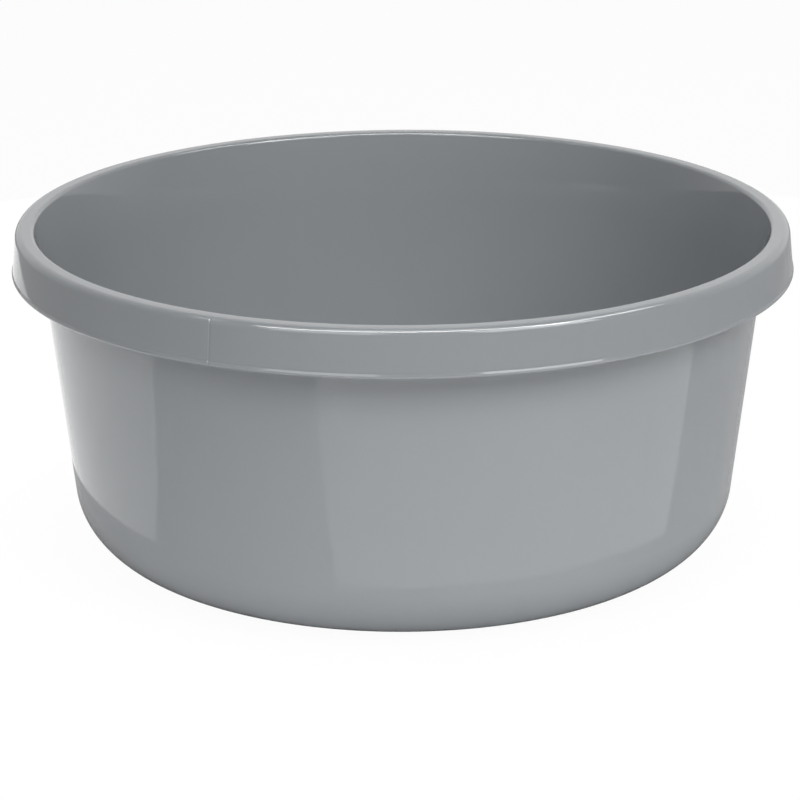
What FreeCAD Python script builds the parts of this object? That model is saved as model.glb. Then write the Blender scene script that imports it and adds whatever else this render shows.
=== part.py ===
import FreeCAD, Part
import os

import Sketcher

# A round washing up bowl, moulded in one piece: a flat base on a foot ring, a large round heel, a tapered
# wall that flares at the mouth, and a flat rim that turns down into a skirt for the fingers.
# Millimetres, +Z up along the bowl's axis, origin at the centre of the base on the plane that it stands on.

# Sizes that can each be set by itself. Every one is a length, apart from wall_draft, in degrees.
SIZES = {
    "mouth_diameter": 301.6,
    "bowl_height": 136.0,
    "wall_thickness": 1.8,
    "wall_draft": 6.3,
    "flare_height": 28.0,
    "flare_spread": 2.8,
    "heel_radius": 28.0,
    "floor_thickness": 2.0,
    "foot_height": 0.8,
    "foot_width": 9.0,
    "gate_well_diameter": 18.0,
    "gate_well_depth": 0.6,
    "gate_nub_diameter": 3.2,
    "gate_nub_height": 0.4,
    "finger_gap": 3.7,
    "rim_thickness": 1.8,
    "skirt_depth": 18.2,
    "skirt_spread": 2.1,
    "mouth_edge_radius": 1.8,
    "rim_edge_radius": 3.0,
    "channel_radius": 1.2,
    "skirt_edge_radius": 0.8,
    "floor_seam_inset": 2.0,
    "foot_seam_inset": 1.0,
    "heel_seam_rise": 2.0,
    "collar_seam_drop": 4.0,
    "rim_seam_drop": 2.2,
    "overrun": 5.0,
}

# Radii and levels worked out from the sizes, in the order in which they build on each other.
PLACES = {
    "mouth_radius": "Sizes.mouth_diameter / 2",
    "mouth_level": "Sizes.bowl_height",
    "clear_level": "mouth_level + Sizes.overrun",
    "below_level": "-Sizes.overrun",
    "floor_level": "Sizes.foot_height + Sizes.floor_thickness",
    # inside and outside of the wall: a cone, then a flare that leaves the cone along its slope
    "flare_level": "mouth_level - Sizes.flare_height",
    "inner_cone_radius": "mouth_radius - Sizes.flare_spread",
    "inner_corner_radius": "inner_cone_radius - tan(Sizes.wall_draft) * (mouth_level - floor_level)",
    "inner_flare_radius": "inner_cone_radius - tan(Sizes.wall_draft) * Sizes.flare_height",
    "wall_across": "Sizes.wall_thickness / cos(Sizes.wall_draft)",
    "outer_corner_radius": "inner_cone_radius - tan(Sizes.wall_draft) * mouth_level + wall_across",
    "outer_flare_radius": "inner_flare_radius + wall_across",
    "outer_mouth_radius": "mouth_radius + wall_across",
    "inner_heel_radius": "Sizes.heel_radius - Sizes.wall_thickness",
    # the rim stands out over the finger gap, and its skirt leans outwards to its lower edge
    "skirt_roof_radius": "outer_mouth_radius + Sizes.finger_gap",
    "land_radius": "skirt_roof_radius + Sizes.rim_thickness",
    "rim_radius": "land_radius + Sizes.skirt_spread",
    "skirt_inner_radius": "rim_radius - Sizes.rim_thickness",
    "roof_level": "mouth_level - Sizes.rim_thickness",
    "skirt_level": "mouth_level - Sizes.skirt_depth",
    # the bowl stands on the flat ring inside the heel, and its gate mark is sunk in the middle
    "foot_outer_radius": "outer_corner_radius - Sizes.heel_radius * tan((90 - Sizes.wall_draft) / 2)",
    "foot_inner_radius": "foot_outer_radius - Sizes.foot_width",
    "recess_level": "Sizes.foot_height",
    "gate_well_radius": "Sizes.gate_well_diameter / 2",
    "gate_well_level": "recess_level + Sizes.gate_well_depth",
    "gate_nub_radius": "Sizes.gate_nub_diameter / 2",
    "gate_nub_level": "gate_well_level - Sizes.gate_nub_height",
    # seams between the zones of the moulding
    "floor_seam_radius": "foot_inner_radius - Sizes.floor_seam_inset",
    "foot_seam_radius": "foot_outer_radius - Sizes.foot_seam_inset",
    "heel_seam_level": "Sizes.heel_radius + Sizes.heel_seam_rise",
    "collar_seam_level": "flare_level - Sizes.collar_seam_drop",
    "rim_seam_level": "roof_level - Sizes.channel_radius - Sizes.rim_seam_drop",
    "finger_gap_radius": "(outer_mouth_radius + skirt_roof_radius) / 2",
    "skirt_cut_level": "skirt_level - Sizes.overrun",
    "clear_radius": "rim_radius + Sizes.overrun",
}

# A corner of a section is a pair of places, a radius and a level, and ON_AXIS stands for zero.
ON_AXIS = ""
VESSEL_CORNERS = [
    (ON_AXIS, ON_AXIS),
    ("outer_corner_radius", ON_AXIS),
    ("outer_flare_radius", "flare_level"),
    ("outer_mouth_radius", "mouth_level"),
    (ON_AXIS, "mouth_level"),
]
RIM_CORNERS = [
    ("mouth_radius", "mouth_level"),
    ("land_radius", "mouth_level"),
    ("rim_radius", "skirt_level"),
    ("skirt_inner_radius", "skirt_level"),
    ("skirt_roof_radius", "roof_level"),
    ("mouth_radius", "roof_level"),
]
CAVITY_CORNERS = [
    (ON_AXIS, "floor_level"),
    ("inner_corner_radius", "floor_level"),
    ("inner_flare_radius", "flare_level"),
    ("mouth_radius", "mouth_level"),
    ("mouth_radius", "clear_level"),
    (ON_AXIS, "clear_level"),
]
UNDERSIDE_CORNERS = [
    (ON_AXIS, "below_level"),
    ("foot_inner_radius", "below_level"),
    ("foot_inner_radius", "recess_level"),
    ("gate_well_radius", "recess_level"),
    ("gate_well_radius", "gate_well_level"),
    ("gate_nub_radius", "gate_well_level"),
    ("gate_nub_radius", "gate_nub_level"),
    (ON_AXIS, "gate_nub_level"),
]
FLARE_SIDE_INDEX = 2

# Zones of the moulding that go all the way round: inner and outer radius, low and high level.
RING_ZONES = {
    "base_floor": (ON_AXIS, "floor_seam_radius", "below_level", "heel_seam_level"),
    "foot_ring": ("floor_seam_radius", "foot_seam_radius", "below_level", "heel_seam_level"),
}
# Zones that are divided into equal sectors, named from +X towards +Y, with +Y at the back.
SECTOR_ZONES = {
    "heel": ("foot_seam_radius", "clear_radius", "below_level", "heel_seam_level"),
    "side_wall": (ON_AXIS, "finger_gap_radius", "heel_seam_level", "collar_seam_level"),
    "collar": (ON_AXIS, "finger_gap_radius", "collar_seam_level", "rim_seam_level"),
    "rim_land": (ON_AXIS, "clear_radius", "rim_seam_level", "clear_level"),
    "rim_skirt": ("finger_gap_radius", "clear_radius", "skirt_cut_level", "rim_seam_level"),
}
SECTORS = ["right", "back_right", "back", "back_left", "left", "front_left", "front", "front_right"]

FULL_TURN_DEGREES = 360
SECTOR_DEGREES = FULL_TURN_DEGREES / len(SECTORS)
SECTOR_START_SHARE = -0.5
FLARE_BULGE_SHARE = 0.25
VOLUME_TOLERANCE_SHARE = 1e-4

# Numbers by which a sketch knows the two ends of a side, its own origin and its two axes.
SIDE_END_INDICES = (1, 2)
ORIGIN_INDICES = (-1, 1)
RADIUS_AXIS_INDEX = -1
LEVEL_AXIS_INDEX = -2

document = FreeCAD.newDocument("washing_up_bowl")


def fill_sheet(name, cells):
    """A sheet with one named cell per row."""
    sheet = document.addObject("Spreadsheet::Sheet", name)
    for row, (alias, content) in enumerate(cells.items(), start=1):
        sheet.set(f"A{row}", alias)
        sheet.set(f"B{row}", content)
        sheet.setAlias(f"B{row}", alias)
    document.recompute()
    return sheet


sizes = fill_sheet("Sizes", {alias: str(value) for alias, value in SIZES.items()})
places = fill_sheet("Places", {alias: f"={formula}" for alias, formula in PLACES.items()})


def place(name):
    """The value of a named place, or zero for a point on an axis."""
    return 0.0 if name == ON_AXIS else float(getattr(places, name))


def hold(sketch, side, end, kind, name, axis):
    """Holds one coordinate of a corner at a named place, or on an axis."""
    if name == ON_AXIS:
        sketch.addConstraint(Sketcher.Constraint("PointOnObject", side, end, axis))
        return
    index = sketch.addConstraint(Sketcher.Constraint(kind, *ORIGIN_INDICES, side, end, place(name)))
    sketch.setExpression(f"Constraints[{index}]", f"Places.{name}")


def add_section(body, name, corners, flare_side=None):
    """A closed section through the axis, with straight sides from corner to corner.

    The side numbered flare_side is an arc, tangent to the side before it. An arc's ends are numbered
    counter-clockwise, so the flare, which runs upwards and then outwards, starts at its second end.
    """
    sketch = body.newObject("Sketcher::SketchObject", name)
    section_plane = next(plane for plane in body.Origin.OriginFeatures if plane.Role == "XZ_Plane")
    sketch.AttachmentSupport = [(section_plane, "")]
    sketch.MapMode = "FlatFace"
    points = [FreeCAD.Vector(place(radius), place(level), 0) for radius, level in corners]
    bulge = FreeCAD.Vector(sizes.flare_spread * FLARE_BULGE_SHARE, 0, 0)
    first, second = SIDE_END_INDICES
    starts = [second if side == flare_side else first for side in range(len(corners))]
    finishes = [first if side == flare_side else second for side in range(len(corners))]
    for side, start in enumerate(points):
        finish = points[(side + 1) % len(points)]
        if side == flare_side:
            sketch.addGeometry(Part.Arc(start, (start + finish) / 2 - bulge, finish))
        else:
            sketch.addGeometry(Part.LineSegment(start, finish))
    for side, (radius, level) in enumerate(corners):
        before = (side - 1) % len(corners)
        joint = "Tangent" if side == flare_side else "Coincident"
        sketch.addConstraint(Sketcher.Constraint(joint, before, finishes[before], side, starts[side]))
        hold(sketch, side, starts[side], "DistanceX", radius, LEVEL_AXIS_INDEX)
        hold(sketch, side, starts[side], "DistanceY", level, RADIUS_AXIS_INDEX)
    document.recompute()
    return sketch


def turn_section(body, kind, name, sketch):
    """Turns a section once round the bowl's axis, and makes sure that it changed the volume as it should."""
    volume_before = body.Shape.Volume if body.Tip else 0.0
    feature = body.newObject(kind, name)
    feature.Profile = sketch
    feature.ReferenceAxis = (sketch, ["V_Axis"])
    feature.Angle = FULL_TURN_DEGREES
    document.recompute()
    grew = body.Shape.Volume > volume_before
    shrank = body.Shape.Volume < volume_before
    if not (shrank if kind == "PartDesign::Groove" else grew):
        raise RuntimeError(f"{name} does not change the moulding as it should")


def round_rings(body, name, radius, rings):
    """Rounds the circular edges nearest to the given rings, each a named radius and level."""
    base = body.Tip
    circles = {}
    for number, edge in enumerate(base.Shape.Edges, start=1):
        if isinstance(edge.Curve, Part.Circle):
            circles[f"Edge{number}"] = FreeCAD.Vector(edge.Curve.Radius, edge.Curve.Center.z, 0)
    edges = []
    for ring_radius, ring_level in rings:
        wanted = FreeCAD.Vector(place(ring_radius), place(ring_level), 0)
        edges.append(min(circles, key=lambda edge: circles[edge].distanceToPoint(wanted)))
    feature = body.newObject("PartDesign::Fillet", name)
    feature.Base = (base, edges)
    feature.setExpression("Radius", radius)
    document.recompute()


def make_moulding():
    """The whole bowl as it leaves its mould, before it is divided into zones."""
    body = document.addObject("PartDesign::Body", "moulding")
    vessel = add_section(body, "vessel_section", VESSEL_CORNERS, FLARE_SIDE_INDEX)
    turn_section(body, "PartDesign::Revolution", "vessel", vessel)
    rim = add_section(body, "rim_section", RIM_CORNERS)
    turn_section(body, "PartDesign::Revolution", "rim", rim)
    cavity = add_section(body, "cavity_section", CAVITY_CORNERS, FLARE_SIDE_INDEX)
    turn_section(body, "PartDesign::Groove", "cavity", cavity)
    underside = add_section(body, "underside_section", UNDERSIDE_CORNERS)
    turn_section(body, "PartDesign::Groove", "underside", underside)
    round_rings(body, "outer_heel", "Sizes.heel_radius", [("outer_corner_radius", ON_AXIS)])
    round_rings(body, "inner_heel", "Places.inner_heel_radius", [("inner_corner_radius", "floor_level")])
    round_rings(body, "mouth_edge", "Sizes.mouth_edge_radius", [("mouth_radius", "mouth_level")])
    round_rings(body, "rim_edge", "Sizes.rim_edge_radius", [("land_radius", "mouth_level")])
    channel_corners = [("outer_mouth_radius", "roof_level"), ("skirt_roof_radius", "roof_level")]
    round_rings(body, "channel_corners", "Sizes.channel_radius", channel_corners)
    skirt_edges = [("rim_radius", "skirt_level"), ("skirt_inner_radius", "skirt_level")]
    round_rings(body, "skirt_edges", "Sizes.skirt_edge_radius", skirt_edges)
    return body


def add_cylinder(name, radius, low, high):
    """A cylinder on the bowl's axis, between two named levels."""
    cylinder = document.addObject("Part::Cylinder", name)
    cylinder.setExpression("Radius", f"Places.{radius}")
    cylinder.setExpression("Height", f"Places.{high} - Places.{low}")
    cylinder.setExpression("Placement.Base.z", f"Places.{low}")
    return cylinder


def add_zone(moulding, node, limits, sector=None):
    """The part of the moulding between two radii and two levels, all round or in one numbered sector."""
    inner, outer, low, high = limits
    block = add_cylinder(f"{node}_block", outer, low, high)
    if sector is not None:
        start_degrees = (sector + SECTOR_START_SHARE) * SECTOR_DEGREES
        block.Angle = SECTOR_DEGREES
        block.Placement.Rotation = FreeCAD.Rotation(FreeCAD.Vector(0, 0, 1), start_degrees)
    if inner != ON_AXIS:
        ring = document.addObject("Part::Cut", f"{node}_ring")
        ring.Base = block
        ring.Tool = add_cylinder(f"{node}_core", inner, low, high)
        block = ring
    zone = document.addObject("Part::Common", node)
    zone.Base = moulding
    zone.Tool = block
    zone.Label = node
    return zone


def check_document(moulding, zones):
    """Stops if any object failed, or if the zones do not make up the whole moulding."""
    for item in document.Objects:
        if "Invalid" in item.State or "Error" in item.State:
            raise RuntimeError(f"{item.Label} failed: {item.State}")
    for zone in zones:
        if zone.Shape.isNull() or not zone.Shape.isValid() or len(zone.Shape.Solids) != 1:
            raise RuntimeError(f"{zone.Label} is not one valid solid")
    whole = moulding.Shape.Volume
    together = sum(zone.Shape.Volume for zone in zones)
    if abs(together - whole) > whole * VOLUME_TOLERANCE_SHARE:
        raise RuntimeError(f"the zones hold {together:.1f} cubic mm of the moulding's {whole:.1f}")


moulding = make_moulding()
zones = [add_zone(moulding, node, limits) for node, limits in RING_ZONES.items()]
for zone_name, limits in SECTOR_ZONES.items():
    for sector, sector_name in enumerate(SECTORS):
        zones.append(add_zone(moulding, f"{zone_name}_{sector_name}", limits, sector))
document.recompute()
check_document(moulding, zones)

os.makedirs("parts", exist_ok=True)
for zone in zones:
    zone.Shape.exportStep(f"parts/{zone.Label}.step")
bounds = moulding.Shape.optimalBoundingBox(True, False)
print(f"bowl: {bounds.XLength:.2f} x {bounds.YLength:.2f} x {bounds.ZLength:.2f} mm,"
      f" {moulding.Shape.Volume:.0f} cubic mm in {len(zones)} zones")
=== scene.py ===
# %% [markdown]
# # A moulded washing up bowl
#
# The object is a round washing up bowl in grey polypropylene. It leaves its mould as one piece: a flat base
# on a foot ring, a big round heel, a wall that tapers so that it slides off the core, and a flat rim that
# turns down into a skirt for the fingers. The CAD model divides it into zones for collision. Here it
# becomes one seamless mesh with a gloss finish, standing on a pale floor in soft studio light.

# %% Load the frame
import math

import bmesh
import bpy
from mathutils import Matrix, Vector


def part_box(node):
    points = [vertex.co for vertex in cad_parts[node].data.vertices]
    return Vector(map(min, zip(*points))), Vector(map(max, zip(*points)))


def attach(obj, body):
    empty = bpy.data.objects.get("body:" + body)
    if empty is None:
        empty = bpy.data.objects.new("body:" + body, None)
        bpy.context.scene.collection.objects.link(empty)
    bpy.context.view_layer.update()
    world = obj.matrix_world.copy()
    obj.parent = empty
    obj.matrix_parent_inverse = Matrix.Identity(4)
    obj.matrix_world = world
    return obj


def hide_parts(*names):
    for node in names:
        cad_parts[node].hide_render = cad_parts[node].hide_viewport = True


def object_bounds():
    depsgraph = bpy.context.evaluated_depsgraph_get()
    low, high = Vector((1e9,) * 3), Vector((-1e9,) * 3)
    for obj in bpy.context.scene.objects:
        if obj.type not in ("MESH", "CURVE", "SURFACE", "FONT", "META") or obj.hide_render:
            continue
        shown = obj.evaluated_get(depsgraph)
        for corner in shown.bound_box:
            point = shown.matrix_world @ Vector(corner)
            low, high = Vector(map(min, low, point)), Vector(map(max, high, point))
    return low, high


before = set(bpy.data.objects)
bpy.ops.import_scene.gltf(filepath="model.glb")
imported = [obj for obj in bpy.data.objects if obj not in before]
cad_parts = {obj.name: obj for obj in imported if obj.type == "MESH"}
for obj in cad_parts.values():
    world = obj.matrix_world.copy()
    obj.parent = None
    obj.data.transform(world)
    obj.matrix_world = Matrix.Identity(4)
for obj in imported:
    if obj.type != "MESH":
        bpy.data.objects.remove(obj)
cad_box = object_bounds()
print("CAD box in metres:", [tuple(round(value, 4) for value in corner) for corner in cad_box])

# %% [markdown]
# ## Sizes
#
# Blender works in metres and the drawing in millimetres, so one factor turns the one into the other. The
# levels and radii that the frame can give are read from its zones, so that the mesh stays on the CAD
# model. What a box can't give, such as a wall's thickness or an edge's radius, is named here once.

# %% Sizes of the bowl
MM = 0.001

wall_low, wall_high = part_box("side_wall_right")
heel_low, heel_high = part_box("heel_right")
skirt_low, skirt_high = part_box("rim_skirt_right")
floor_low, floor_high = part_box("base_floor")
foot_low, foot_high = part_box("foot_ring")

BOWL_HEIGHT = cad_box[1].z
SKIRT_LEVEL = skirt_low.z
FLOOR_LEVEL = floor_high.z
RECESS_LEVEL = floor_low.z
WALL_SLOPE = (wall_high.x - heel_high.x) / (wall_high.z - wall_low.z)
WALL_DRAFT = math.atan(WALL_SLOPE)

WALL_THICKNESS = 1.8 * MM
RIM_THICKNESS = 1.8 * MM
FINGER_GAP = 3.7 * MM
SKIRT_SPREAD = 2.1 * MM
BEAD_SPREAD = 0.4 * MM
BEAD_TOP = 1.9 * MM
BEAD_BULGE = 1.1 * MM
FLARE_HEIGHT = 28 * MM
FLARE_SPREAD = 2.8 * MM
FOOT_WIDTH = 9 * MM
FOOT_SEAM_INSET = 1 * MM
GATE_WELL_RADIUS = 9 * MM
GATE_WELL_DEPTH = 0.6 * MM
GATE_NUB_RADIUS = 1.6 * MM
GATE_NUB_HEIGHT = 0.4 * MM

HEEL_RADIUS = 28 * MM
MOUTH_EDGE_RADIUS = 1.8 * MM
RIM_EDGE_RADIUS = 3.0 * MM
CHANNEL_RADIUS = 1.2 * MM
SKIRT_EDGE_RADIUS = 0.8 * MM
BEAD_EDGE_RADIUS = 0.5 * MM
FOOT_EDGE_RADIUS = 0.3 * MM

WALL_ACROSS = WALL_THICKNESS / math.cos(WALL_DRAFT)
FLARE_LEVEL = BOWL_HEIGHT - FLARE_HEIGHT
ROOF_LEVEL = BOWL_HEIGHT - RIM_THICKNESS


def outer_radius(level):
    """Radius of the wall's outside: a cone, with a flare that leaves it smoothly near the mouth."""
    rise = max(0.0, level - FLARE_LEVEL) / FLARE_HEIGHT
    return wall_high.x + WALL_SLOPE * (level - wall_high.z) + FLARE_SPREAD * rise ** 2


def inner_radius(level):
    """Radius of the wall's inside."""
    return outer_radius(level) - WALL_ACROSS


SKIRT_ROOF_RADIUS = outer_radius(BOWL_HEIGHT) + FINGER_GAP
LAND_RADIUS = SKIRT_ROOF_RADIUS + RIM_THICKNESS
RIM_RADIUS = LAND_RADIUS + SKIRT_SPREAD
FOOT_OUTER_RADIUS = foot_high.x + FOOT_SEAM_INSET
FOOT_INNER_RADIUS = FOOT_OUTER_RADIUS - FOOT_WIDTH

print(f"wall leans {math.degrees(WALL_DRAFT):.2f} degrees, mouth {2000 * inner_radius(BOWL_HEIGHT):.1f} mm,"
      f" rim {2000 * RIM_RADIUS:.1f} mm across")

# %% [markdown]
# ## Camera
#
# The photograph was taken from a little over a metre away with a long lens, looking down on the bowl at
# about 18 degrees. The distance and angles come from a fit of the rim's and base's ellipses in it. A camera
# looks along its own -Z, so it is first tipped up by a quarter turn less its pitch, and then turned and
# rolled by the small angles that the fit left over.

# %% Camera
CAMERA_DISTANCE = 1260 * MM
CAMERA_HEIGHT_DEGREES = 17.922
CAMERA_PITCH_DEGREES = 18.405
CAMERA_TURN_DEGREES = 0.064
CAMERA_ROLL_DEGREES = -0.275
CAMERA_TARGET_LEVEL = BOWL_HEIGHT / 2
SENSOR_WIDTH = 36
LENS = 135.604

height_angle = math.radians(CAMERA_HEIGHT_DEGREES)
camera_place = Vector((
    0,
    -CAMERA_DISTANCE * math.cos(height_angle),
    CAMERA_TARGET_LEVEL + CAMERA_DISTANCE * math.sin(height_angle),
))
bpy.ops.object.camera_add(location=camera_place)
camera = bpy.context.object
camera.name = "photo_camera"
camera.data.sensor_width = SENSOR_WIDTH
camera.data.lens = LENS
camera.matrix_world = (
    Matrix.Translation(camera_place)
    @ Matrix.Rotation(math.radians(CAMERA_TURN_DEGREES), 4, "Z")
    @ Matrix.Rotation(math.radians(90 - CAMERA_PITCH_DEGREES), 4, "X")
    @ Matrix.Rotation(math.radians(CAMERA_ROLL_DEGREES), 4, "Z")
)
bpy.context.scene.camera = camera
print("camera at", [round(value, 3) for value in camera_place])

# %% [markdown]
# ## One seamless moulding
#
# A bowl like this could be spun from its outline or thickened from a thin skin. Here a single ring of edges
# follows the section all the way: from the middle of the floor up the inside, over the rim, down the outside
# and under the base. Each step extrudes the ring to the next corner and scales it to that corner's radius,
# so every wall has its real thickness and the mesh is closed. The skirt ends in a small bead, which stiffens
# its lower edge and shows as a thin light line.

# %% Walk a ring along the section
RING_SEGMENTS = 256
FLARE_STEPS = 8
CENTRE_RADIUS = 12 * MM

flare_levels = [FLARE_LEVEL + FLARE_HEIGHT * step / FLARE_STEPS for step in range(FLARE_STEPS + 1)]
inside = [(inner_radius(FLOOR_LEVEL), FLOOR_LEVEL)]
inside += [(inner_radius(level), level) for level in flare_levels]
rim = [
    (LAND_RADIUS, BOWL_HEIGHT),
    (RIM_RADIUS - BEAD_SPREAD, SKIRT_LEVEL + BEAD_TOP),
    (RIM_RADIUS, SKIRT_LEVEL + BEAD_BULGE),
    (RIM_RADIUS, SKIRT_LEVEL),
    (RIM_RADIUS - RIM_THICKNESS, SKIRT_LEVEL),
    (SKIRT_ROOF_RADIUS, ROOF_LEVEL),
    (outer_radius(ROOF_LEVEL), ROOF_LEVEL),
]
outside = [(outer_radius(level), level) for level in reversed(flare_levels) if level < ROOF_LEVEL]
outside += [(outer_radius(0), 0)]
gate_level = RECESS_LEVEL + GATE_WELL_DEPTH
underside = [
    (FOOT_INNER_RADIUS, 0),
    (FOOT_INNER_RADIUS, RECESS_LEVEL),
    (GATE_WELL_RADIUS, RECESS_LEVEL),
    (GATE_WELL_RADIUS, gate_level),
    (GATE_NUB_RADIUS, gate_level),
    (GATE_NUB_RADIUS, gate_level - GATE_NUB_HEIGHT),
]

bpy.ops.object.select_all(action="DESELECT")
bpy.ops.mesh.primitive_circle_add(
    vertices=RING_SEGMENTS, radius=CENTRE_RADIUS, fill_type="TRIFAN", location=(0, 0, FLOOR_LEVEL)
)
bowl = bpy.context.object
bowl.name = "washing_up_bowl"
bpy.ops.object.transform_apply(location=True)


def select_ring(radius, level, tolerance=0.02 * MM):
    """Selects the edges of the bowl's ring at a radius and a level, and nothing else."""
    mesh = bmesh.from_edit_mesh(bowl.data)
    bpy.ops.mesh.select_all(action="DESELECT")
    count = 0
    for edge in mesh.edges:
        places = [(math.hypot(vert.co.x, vert.co.y), vert.co.z) for vert in edge.verts]
        if all(math.dist(place, (radius, level)) < tolerance for place in places):
            edge.select_set(True)
            count += 1
    bmesh.update_edit_mesh(bowl.data)
    return count


bpy.ops.object.mode_set(mode="EDIT")
bpy.ops.mesh.select_mode(type="EDGE")
radius, level = CENTRE_RADIUS, FLOOR_LEVEL
select_ring(radius, level)
for next_radius, next_level in inside + rim + outside + underside:
    rise = (0, 0, next_level - level)
    grow = next_radius / radius
    bpy.ops.mesh.extrude_region_move(TRANSFORM_OT_translate={"value": rise})
    bpy.ops.transform.resize(value=(grow, grow, 1), center_override=(0, 0, next_level))
    radius, level = next_radius, next_level
bpy.ops.mesh.extrude_region_move(TRANSFORM_OT_translate={"value": (0, 0, 0)})
bpy.ops.mesh.merge(type="CENTER")
print("rings along the section:", len(inside + rim + outside + underside))

# %% [markdown]
# ## Rounded corners
#
# A mould is cut with round tools, and plastic flows better round a bend, so no corner is sharp. The heel has
# the largest round; the rim's outer edge has one that catches the light as a thin bright line. Each is a
# bevel of one ring of edges. A bevel wants the distance from the old edge to where the round starts, and for
# a round of a given radius that is the radius times the tangent of half the turn.

# %% Round the corners
HEEL_SEGMENTS = 28
EDGE_SEGMENTS = 8
FINE_SEGMENTS = 5

quarter_turn = math.pi / 2
skirt_lean = math.atan(SKIRT_SPREAD / (BOWL_HEIGHT - SKIRT_LEVEL))
bead_turn = math.atan2(BEAD_SPREAD, BEAD_TOP - BEAD_BULGE)
mouth_lean = math.atan(WALL_SLOPE + 2 * FLARE_SPREAD / FLARE_HEIGHT)
heel_turn = quarter_turn - WALL_DRAFT
rounds = [
    (inside[0], HEEL_RADIUS - WALL_THICKNESS, heel_turn, HEEL_SEGMENTS),
    (outside[-1], HEEL_RADIUS, heel_turn, HEEL_SEGMENTS),
    (inside[-1], MOUTH_EDGE_RADIUS, quarter_turn - mouth_lean, EDGE_SEGMENTS),
    (rim[0], RIM_EDGE_RADIUS, quarter_turn - skirt_lean, EDGE_SEGMENTS),
    (rim[1], BEAD_EDGE_RADIUS, bead_turn, FINE_SEGMENTS),
    (rim[2], BEAD_EDGE_RADIUS, bead_turn, FINE_SEGMENTS),
    (rim[3], SKIRT_EDGE_RADIUS, quarter_turn, FINE_SEGMENTS),
    (rim[4], SKIRT_EDGE_RADIUS, quarter_turn - skirt_lean, FINE_SEGMENTS),
    (rim[5], CHANNEL_RADIUS, quarter_turn - skirt_lean, FINE_SEGMENTS),
    (rim[6], CHANNEL_RADIUS, quarter_turn - mouth_lean, FINE_SEGMENTS),
    (underside[0], FOOT_EDGE_RADIUS, quarter_turn, FINE_SEGMENTS),
    (underside[1], FOOT_EDGE_RADIUS, quarter_turn, FINE_SEGMENTS),
]
for (radius, level), round_radius, turn, segments in rounds:
    edges = select_ring(radius, level)
    start = round_radius * math.tan(turn / 2)
    bpy.ops.mesh.bevel(offset_type="OFFSET", offset=start, segments=segments, profile=0.5, affect="EDGES")
    print(f"rounded {edges} edges at radius {radius / MM:.1f} mm, level {level / MM:.1f} mm,"
          f" by {round_radius / MM:.1f} mm")

# %% [markdown]
# ## Clean mesh and smooth shading
#
# The moulding is one skin, so stray doubles are merged and all faces are turned outwards. The wide, flat
# stretches have to shade flat right up to the rounds beside them. Weighted normals do that: at each ring the
# larger face decides which way the surface points.

# %% Clean and smooth
MERGE_DISTANCE = 0.001 * MM

bpy.ops.mesh.select_all(action="SELECT")
bpy.ops.mesh.remove_doubles(threshold=MERGE_DISTANCE)
bpy.ops.mesh.normals_make_consistent(inside=False)
bpy.ops.object.mode_set(mode="OBJECT")
bpy.ops.object.shade_smooth()
bpy.ops.object.modifier_add(type="WEIGHTED_NORMAL")
bowl.modifiers[-1].keep_sharp = False
bpy.ops.object.modifier_apply(modifier=bowl.modifiers[-1].name)
print("bowl:", len(bowl.data.vertices), "vertices,", len(bowl.data.polygons), "faces")

# %% [markdown]
# ## Helpers for the materials
#
# Colours are written as on a screen, in sRGB, while Blender's sockets want linear light, so one function
# turns the one into the other. Every node in the file is added by one more small function, which sets its
# options and values and links other nodes into it.

# %% Material helpers


def linear(hex_colour):
    """A colour such as "9DA0A3" as linear light, the form that Blender's sockets take."""
    shares = [int(hex_colour[place:place + 2], 16) / 255 for place in (0, 2, 4)]
    light = [share / 12.92 if share <= 0.04045 else ((share + 0.055) / 1.055) ** 2.4 for share in shares]
    return (*light, 1.0)


def add_node(tree, kind, values=None, links=None, **settings):
    """Adds a node, sets its options and its sockets' values, and links sockets of other nodes into it."""
    node = tree.nodes.new(kind)
    for name, setting in settings.items():
        setattr(node, name, setting)
    for socket, value in (values or {}).items():
        node.inputs[socket].default_value = value
    for socket, source in (links or {}).items():
        tree.links.new(source, node.inputs[socket])
    return node


def new_material(name):
    """An empty material with its output node."""
    material = bpy.data.materials.new(name)
    material.use_nodes = True
    material.node_tree.nodes.clear()
    output = material.node_tree.nodes.new("ShaderNodeOutputMaterial")
    return material, material.node_tree, output


# %% [markdown]
# ## Moulded polypropylene
#
# Polypropylene comes off a polished mould with a clear gloss. It is not quite even: the pigment is a little
# streaky, the gloss varies where the plastic shrank away from the steel, and the skin has a fine peel and
# long, shallow waves that bend reflections. Where two fronts of molten plastic met, a weld line runs down
# the skirt. All of it is faint. The patterns follow the bowl's own coordinates in metres, so a noise scale
# is one over the size of its patches.

# %% Polypropylene
PLASTIC_COLOUR = "9DA0A3"
STREAK_COLOUR = "989C9F"
PLASTIC_IOR = 1.49
PLASTIC_ROUGHNESS = 0.06
STREAK_SIZE = 60 * MM
GLOSS_PATCH_SIZE = 18 * MM
PEEL_SIZE = 3 * MM
PEEL_HEIGHT = 0.005 * MM
WAVE_SIZE = 45 * MM
WAVE_HEIGHT = 0.06 * MM
WELD_COMPASS = math.radians(-26.6)
WELD_WIDTH = 1.4 * MM
WELD_HEIGHT = 0.12 * MM

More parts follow.
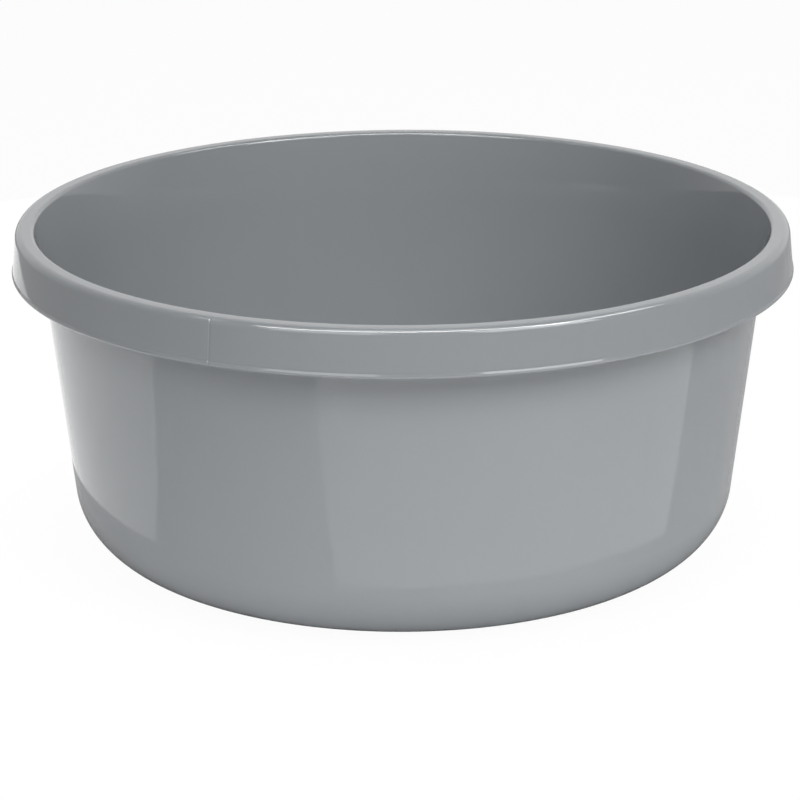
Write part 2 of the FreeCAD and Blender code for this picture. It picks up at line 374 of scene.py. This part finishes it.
plastic, tree, output = new_material("moulded_polypropylene")
place = add_node(tree, "ShaderNodeTexCoord").outputs["Object"]
streaks = add_node(tree, "ShaderNodeTexNoise", {"Scale": 1 / STREAK_SIZE, "Detail": 3.0}, {"Vector": place})
colour = add_node(
    tree, "ShaderNodeMix", {6: linear(PLASTIC_COLOUR), 7: linear(STREAK_COLOUR)},
    {0: streaks.outputs["Fac"]}, data_type="RGBA",
)
patches = add_node(
    tree, "ShaderNodeTexNoise", {"Scale": 1 / GLOSS_PATCH_SIZE, "Detail": 4.0}, {"Vector": place}
)
gloss = add_node(
    tree, "ShaderNodeMapRange", {"To Min": PLASTIC_ROUGHNESS - 0.015, "To Max": PLASTIC_ROUGHNESS + 0.02},
    {"Value": patches.outputs["Fac"]},
)
peel = add_node(tree, "ShaderNodeTexNoise", {"Scale": 1 / PEEL_SIZE, "Detail": 3.0}, {"Vector": place})
waves = add_node(tree, "ShaderNodeTexNoise", {"Scale": 1 / WAVE_SIZE, "Detail": 0.0}, {"Vector": place})
outward = (math.sin(WELD_COMPASS), -math.cos(WELD_COMPASS), 0)
along = (math.cos(WELD_COMPASS), math.sin(WELD_COMPASS), 0)
from_axis = add_node(tree, "ShaderNodeVectorMath", {1: outward}, {0: place}, operation="DOT_PRODUCT")
sideways = add_node(tree, "ShaderNodeVectorMath", {1: along}, {0: place}, operation="DOT_PRODUCT")
on_rim = add_node(
    tree, "ShaderNodeMapRange", {"From Min": LAND_RADIUS - RIM_EDGE_RADIUS, "From Max": LAND_RADIUS},
    {"Value": from_axis.outputs["Value"]},
)
off_weld = add_node(tree, "ShaderNodeMath", None, {0: sideways.outputs["Value"]}, operation="ABSOLUTE")
weld = add_node(
    tree, "ShaderNodeMapRange", {"From Max": WELD_WIDTH / 2, "To Min": 1.0, "To Max": 0.0},
    {"Value": off_weld.outputs[0]}, interpolation_type="SMOOTHSTEP",
)
weld_height = add_node(
    tree, "ShaderNodeMath", None, {0: weld.outputs["Result"], 1: on_rim.outputs["Result"]},
    operation="MULTIPLY",
)
peel_bump = add_node(
    tree, "ShaderNodeBump", {"Strength": 1.0, "Distance": PEEL_HEIGHT}, {"Height": peel.outputs["Fac"]}
)
wave_bump = add_node(
    tree, "ShaderNodeBump", {"Strength": 1.0, "Distance": WAVE_HEIGHT},
    {"Height": waves.outputs["Fac"], "Normal": peel_bump.outputs["Normal"]},
)
bump = add_node(
    tree, "ShaderNodeBump", {"Strength": 1.0, "Distance": WELD_HEIGHT},
    {"Height": weld_height.outputs[0], "Normal": wave_bump.outputs["Normal"]}, invert=True,
)
surface = add_node(
    tree, "ShaderNodeBsdfPrincipled", {"IOR": PLASTIC_IOR},
    {"Base Color": colour.outputs[2], "Roughness": gloss.outputs["Result"], "Normal": bump.outputs["Normal"]},
)
tree.links.new(surface.outputs["BSDF"], output.inputs["Surface"])
bowl.data.materials.append(plastic)
print("material:", plastic.name, "with", len(tree.nodes), "nodes")

# %% [markdown]
# ## Light table
#
# The bowl stands on a white light table, the kind that pictures for a catalogue are taken on. It throws light
# up at the wall, and it ends not far off, so the skirt mirrors the dim room beyond it. Glossy rays see a glow
# of their own on the table and on the floor behind it, apart from the lit surface: a painted reflection.
# Close to the bowl both glows fade out by distance from the middle: a painted shadow of the bowl on the
# table. A floor could be lit until it is white, but that light would fall on the bowl too. So the camera's
# own rays see almost plain white, with a small share of the matt surface that keeps the shadow.

# %% Table top
FLOOR_SIZE = 8.0
FLOOR_DROP = 0.1 * MM
TABLE_RADIUS = 600 * MM
SHADED_RADIUS = 115 * MM
OPEN_RADIUS = 165 * MM
TABLE_COLOUR = "F2F2F2"
# the floor beyond the table has this dark colour for all rays but the camera's: painted shade for a dim room
ROOM_SHADE_COLOUR = "303030"
CAMERA_WHITE_SHARE = 0.96
TABLE_GLOW = 0.45
TABLE_MIRRORED_GLOW = 0.46

bpy.ops.mesh.primitive_plane_add(size=FLOOR_SIZE, location=(0, 0, -FLOOR_DROP))
floor = bpy.context.object
floor.name = "studio_floor"
floor_paint, tree, output = new_material("light_table_top")
place = add_node(tree, "ShaderNodeTexCoord").outputs["Object"]
rays = add_node(tree, "ShaderNodeLightPath")
reach = add_node(tree, "ShaderNodeVectorMath", None, {0: place}, operation="LENGTH").outputs["Value"]
axes = add_node(tree, "ShaderNodeSeparateXYZ", None, {0: place})
table = add_node(tree, "ShaderNodeMath", {1: TABLE_RADIUS}, {0: reach}, operation="LESS_THAN")
# the floor behind the table glows for glossy rays, more towards the back: a painted reflection of a pale back
behind = add_node(
    tree, "ShaderNodeMapRange", {"From Min": -TABLE_RADIUS, "From Max": TABLE_RADIUS},
    {"Value": axes.outputs["Y"]},
)
bright = add_node(
    tree, "ShaderNodeMath", None, {0: table.outputs[0], 1: behind.outputs["Result"]}, operation="MAXIMUM"
)
pale = add_node(
    tree, "ShaderNodeMath", None, {0: table.outputs[0], 1: rays.outputs["Is Camera Ray"]}, operation="MAXIMUM"
)
paint = add_node(
    tree, "ShaderNodeMix", {6: linear(ROOM_SHADE_COLOUR), 7: linear(TABLE_COLOUR)}, {0: pale.outputs[0]},
    data_type="RGBA",
)
matt = add_node(tree, "ShaderNodeBsdfDiffuse", None, {"Color": paint.outputs[2]})
# both glows fade out between these radii: a painted shadow of the bowl, in its light and in its reflections
fade = {"From Min": SHADED_RADIUS, "From Max": OPEN_RADIUS}
glow_with_painted_shadow = add_node(tree, "ShaderNodeMapRange", {**fade, "To Max": TABLE_GLOW}, {"Value": reach})
mirrored_glow_with_painted_shadow = add_node(tree, "ShaderNodeMapRange", {**fade, "To Max": TABLE_MIRRORED_GLOW}, {"Value": reach})
glow_strength = add_node(
    tree, "ShaderNodeMath", None, {0: table.outputs[0], 1: glow_with_painted_shadow.outputs["Result"]}, operation="MULTIPLY"
)
# glossy rays see only this glow, not the lit matt top: a painted reflection of the table and the floor behind
# it
mirrored_glow_strength = add_node(
    tree, "ShaderNodeMath", None, {0: bright.outputs[0], 1: mirrored_glow_with_painted_shadow.outputs["Result"]},
    operation="MULTIPLY",
)
glow = add_node(tree, "ShaderNodeEmission", None, {"Strength": glow_strength.outputs[0]})
mirrored_glow = add_node(tree, "ShaderNodeEmission", None, {"Strength": mirrored_glow_strength.outputs[0]})
white = add_node(tree, "ShaderNodeEmission", {"Strength": 1.0})
lit_top = add_node(tree, "ShaderNodeAddShader", None, {0: matt.outputs[0], 1: glow.outputs[0]})
white_share = add_node(
    tree, "ShaderNodeMath", {1: CAMERA_WHITE_SHARE}, {0: rays.outputs["Is Camera Ray"]}, operation="MULTIPLY"
)
to_camera = add_node(
    tree, "ShaderNodeMixShader", None, {0: white_share.outputs[0], 1: lit_top.outputs[0], 2: white.outputs[0]}
)
both = add_node(
    tree, "ShaderNodeMixShader", None,
    {0: rays.outputs["Is Glossy Ray"], 1: to_camera.outputs[0], 2: mirrored_glow.outputs[0]},
)
tree.links.new(both.outputs[0], output.inputs["Surface"])
floor.data.materials.append(floor_paint)
print("table:", 2 * TABLE_RADIUS, "m across, with", len(tree.nodes), "nodes")

# %% [markdown]
# ## Glowing cards on the table
#
# The table is not lit evenly. In the bowl's gloss it shows as two bright sheets, one in front and one at the
# left, with a gap between them, and both end where the bowl shades the table. A pattern of nodes could paint
# them.
# It is simpler to lay two cards there, each a flat ring round the bowl, cut along two straight lines. But
# these cards glow, though they are no lamps, and the camera and shadows don't see them: in the gloss they are
# painted reflections, and their hole round the bowl is a painted shadow. The left one also lights the wall
# beside it.

# %% Cards
CARD_INNER_RADIUS = 178 * MM
CARD_GLOW = 1.1
# each cut: a point on it, and the compass angle, from the camera to the right, of the side that stays
CARD_CUTS = {
    "front_card": [((-47 * MM, -182 * MM), 59), ((163 * MM, -76 * MM), 18)],
    "left_card": [((-153 * MM, -89 * MM), -171), ((0, 0), -90)],
}

# the cards' material is a plain glow: a painted reflection in the gloss, and for the left card light as well
card_paint, tree, output = new_material("glowing_reflection_card")
card_glow = add_node(tree, "ShaderNodeEmission", {"Strength": CARD_GLOW})
tree.links.new(card_glow.outputs[0], output.inputs["Surface"])
for name, cuts in CARD_CUTS.items():
    bpy.ops.object.select_all(action="DESELECT")
    bpy.ops.mesh.primitive_circle_add(vertices=RING_SEGMENTS, radius=CARD_INNER_RADIUS)
    card = bpy.context.object
    card.name = name
    bpy.ops.object.mode_set(mode="EDIT")
    bpy.ops.mesh.extrude_region_move()
    bpy.ops.transform.resize(value=(TABLE_RADIUS / CARD_INNER_RADIUS, TABLE_RADIUS / CARD_INNER_RADIUS, 1))
    for (x, y), compass in cuts:
        turn = math.radians(compass)
        bpy.ops.mesh.select_all(action="SELECT")
        bpy.ops.mesh.bisect(
            plane_co=(x, y, 0), plane_no=(math.sin(turn), -math.cos(turn), 0), clear_inner=True
        )
    bpy.ops.object.mode_set(mode="OBJECT")
    card.location.z = -FLOOR_DROP / 2
    # hidden from the camera and from shadows, so the cards' glow shows only in reflections, and the left
    # one's as light
    card.visible_camera = False
    card.visible_diffuse = name == "left_card"
    card.visible_shadow = False
    card.data.materials.append(card_paint)
    print(f"{name}: {sum(face.area for face in card.data.polygons):.3f} square metres")

# %% [markdown]
# ## Studio light
#
# Each lamp is an area light aimed at the middle of the bowl, placed by its compass angle, counted from the
# camera to the right, and its height angle. A key at the right and a weaker fill at the left shape the wall,
# and a soft light from above reaches the rim's flat land. The thin bright line along the rim is the mirror
# image of long strips. They could light the bowl as well, but then its inside would be too bright, so diffuse
# rays don't see them and only the gloss does.

# %% Lamps
LAMPS = {
    # name: compass angle, height angle, distance, width, depth, watts
    "key_softbox": (41, 39, 1.8, 1.0, 0.8, 16.4),
    "fill_softbox": (-24, 39, 1.8, 0.9, 0.8, 7.9),
    "top_softbox": (0, 80, 1.8, 0.8, 0.8, 6.0),
    "top_strip": (4, 67, 1.8, 2.2, 0.32, 38.0),
    "right_strip": (76, 54, 1.8, 1.2, 0.32, 13.0),
    "left_spot": (-84, 56, 1.8, 0.2, 0.2, 0.8),
}
LAMP_TARGET = Vector((0, 0, CAMERA_TARGET_LEVEL))

for name, (compass, height, distance, width, depth, watts) in LAMPS.items():
    turn, lift = math.radians(compass), math.radians(height)
    direction = Vector((
        math.sin(turn) * math.cos(lift), -math.cos(turn) * math.cos(lift), math.sin(lift),
    ))
    bpy.ops.object.light_add(type="AREA", location=LAMP_TARGET + direction * distance)
    lamp = bpy.context.object
    lamp.name = name
    lamp.rotation_euler = direction.to_track_quat("Z", "Y").to_euler()
    lamp.data.shape = "RECTANGLE"
    lamp.data.size = width
    lamp.data.size_y = depth
    lamp.data.energy = watts
    lamp.visible_diffuse = not name.endswith("strip")
print("lamps:", ", ".join(LAMPS))

# %% [markdown]
# ## Air of the room
#
# The wall of the room behind the bowl is bright and the room in front of it is dim, so the sides shine where
# they turn away and the rim's land mirrors a pale wall. The world's background gives that, from dark in front
# to bright behind. The gloss sees the bright part begin further round than the matt light does. The camera
# sees plain white.

# %% Air of the room
FRONT_AIR = 0.0
BACK_AIR = 1.22
WALL_START = 0.45
MIRRORED_START = -0.1
WALL_FULL = 0.75

world = bpy.data.worlds.new("studio_air")
bpy.context.scene.world = world
world.use_nodes = True
tree = world.node_tree
tree.nodes.clear()
heading = add_node(tree, "ShaderNodeTexCoord").outputs["Generated"]
axes = add_node(tree, "ShaderNodeSeparateXYZ", None, {0: heading})
rays = add_node(tree, "ShaderNodeLightPath")
start = add_node(
    tree, "ShaderNodeMix", {2: WALL_START, 3: MIRRORED_START}, {0: rays.outputs["Is Glossy Ray"]}
)
brightness = add_node(
    tree, "ShaderNodeMapRange", {"From Max": WALL_FULL, "To Min": FRONT_AIR, "To Max": BACK_AIR},
    {"Value": axes.outputs["Y"], "From Min": start.outputs[0]},
)
seen = add_node(
    tree, "ShaderNodeMix", {3: 1.0}, {0: rays.outputs["Is Camera Ray"], 2: brightness.outputs["Result"]}
)
background = add_node(tree, "ShaderNodeBackground", None, {"Strength": seen.outputs[0]})
output = add_node(tree, "ShaderNodeOutputWorld", None, {"Surface": background.outputs[0]})
print("air:", FRONT_AIR, "in front,", BACK_AIR, "behind")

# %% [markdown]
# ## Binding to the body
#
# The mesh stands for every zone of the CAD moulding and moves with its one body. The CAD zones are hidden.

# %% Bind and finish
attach(bowl, "root")
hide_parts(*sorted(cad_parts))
bpy.context.scene.view_settings.view_transform = "Standard"
